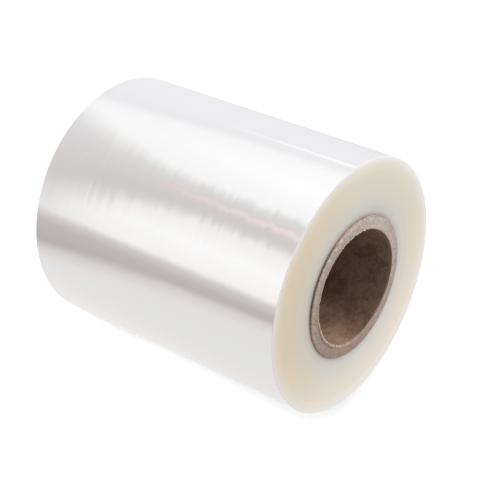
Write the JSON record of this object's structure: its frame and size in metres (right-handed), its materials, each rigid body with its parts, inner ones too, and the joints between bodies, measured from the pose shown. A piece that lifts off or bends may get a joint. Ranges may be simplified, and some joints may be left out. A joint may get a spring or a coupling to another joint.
{
  "type": "sealing film roll",
  "caption": "Roll of clear glossy sealing film wound tight on a brown paperboard core, for feeding tray and cup sealing machines.",
  "frame": {"origin": "on the roll's axis at the lower end of the core, which is the surface that the roll stands on", "axes": "+Z along the roll's axis, from the end that it stands on to the end face that the picture shows; +X and +Y across the roll"},
  "size_m": [0.165, 0.1649, 0.1929],
  "materials": {
    "core_board": "matt kraft board with cut fibres at the ends and a darker inside wall",
    "film": "glossy clear film that looks pearly white on the side and waxy cream on the end faces"
  },
  "bodies": {
    "root": {"paperboard_core": "core_board", "film_winding": "film"}
  },
  "joints": []
}
